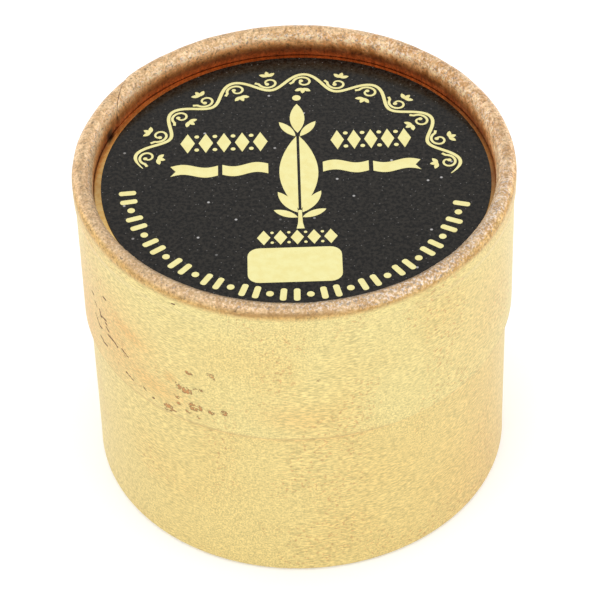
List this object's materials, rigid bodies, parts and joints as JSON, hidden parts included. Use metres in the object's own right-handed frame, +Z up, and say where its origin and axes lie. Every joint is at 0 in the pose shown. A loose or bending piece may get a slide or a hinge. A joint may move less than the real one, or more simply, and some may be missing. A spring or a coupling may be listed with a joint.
{
  "type": "rosin cake in a round paper box",
  "caption": "Rosin cake for bowed strings, cast in a fluted paper cup, in a round gold-papered board box with a slide-off lid and recessed black label.",
  "frame": {"origin": "centre of the base's underside, on the box's axis, on the surface it stands on", "axes": "+Z up along the box's axis, from the base to the lid; the label is read from -Y, with +X to the right"},
  "size_m": [0.05, 0.05, 0.0419],
  "materials": {
    "gold_paper": "satin metallic foil paper",
    "grey_board": "raw wound board",
    "white_paper": "matt",
    "black_label": "gloss varnished print",
    "amber_rosin": "glassy cast resin"
  },
  "bodies": {
    "base": {"base_wrap": "gold_paper", "base_tube": "grey_board", "base_liner": "white_paper", "base_disc": "grey_board", "base_disc_facing": "gold_paper"},
    "lid": {"lid_wrap": "gold_paper", "lid_tube": "grey_board", "lid_disc": "grey_board", "lid_disc_facing": "gold_paper", "lid_label": "black_label"},
    "contents": {"rosin_cup": "white_paper", "rosin_cake": "amber_rosin"}
  },
  "joints": [
    {"name": "lid_lift", "type": "slide", "parent": "base", "child": "lid", "axis": [0, 0, 1], "range_m": [0, 0.08]},
    {"name": "cake_lift", "type": "slide", "parent": "base", "child": "contents", "axis": [0, 0, 1], "range_m": [0, 0.04]}
  ],
  "couplings": [
    {"joint": "cake_lift", "follows": "lid_lift", "ratio": 0.5}
  ]
}
